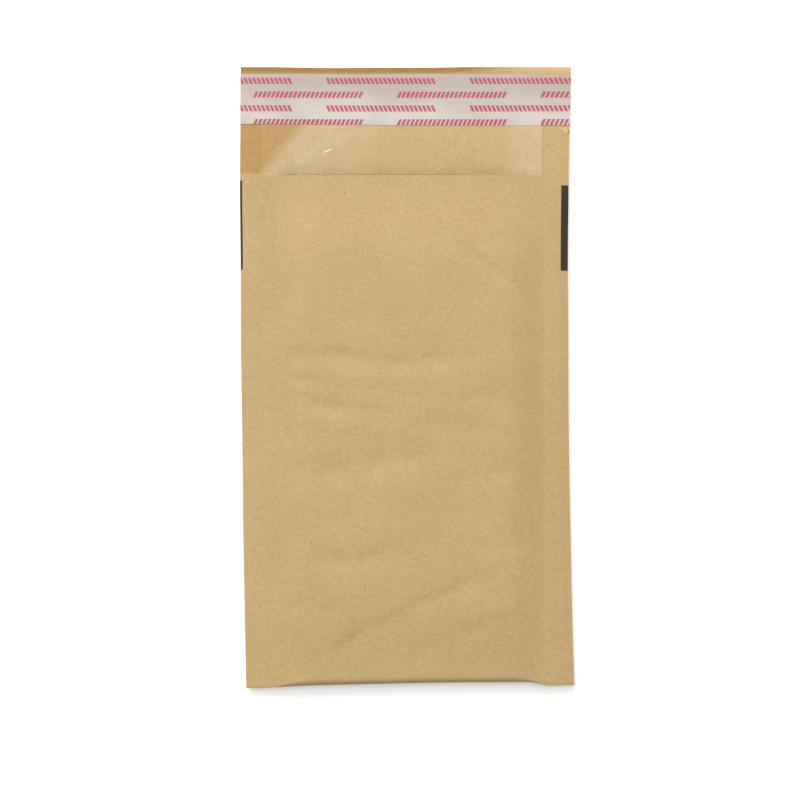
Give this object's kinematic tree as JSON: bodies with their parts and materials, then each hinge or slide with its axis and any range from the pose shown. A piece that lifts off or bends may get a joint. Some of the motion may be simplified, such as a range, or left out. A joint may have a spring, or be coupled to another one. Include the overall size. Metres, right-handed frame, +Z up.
{
  "type": "padded envelope",
  "caption": "Small kraft-paper padded mailing envelope lying flat, flap open, with an air-bubble lining, crushed side seams, a rounded bottom fold and a release liner over the glue strip.",
  "frame": {"origin": "bottom centre of the bounding box, on the surface that the envelope lies on", "axes": "+X across the envelope, +Y along it from the bottom fold to the flap, +Z up through its thickness, out of the front panel"},
  "size_m": [0.1222, 0.2274, 0.0094],
  "materials": {
    "kraft_paper": "matt, fibrous brown kraft with fine mottle and dark specks",
    "bubble_film": "clear glossy polyethylene film with domed air bubbles",
    "hot_melt_glue": "glossy, tacky, pale amber",
    "liner_paper": "satin silicone-coated paper with rows of small pinkish-red marks"
  },
  "bodies": {
    "root": {"kraft_sheet": "kraft_paper", "bubble_lining": "bubble_film", "adhesive_strip": "hot_melt_glue", "release_liner": "liner_paper"}
  },
  "joints": []
}
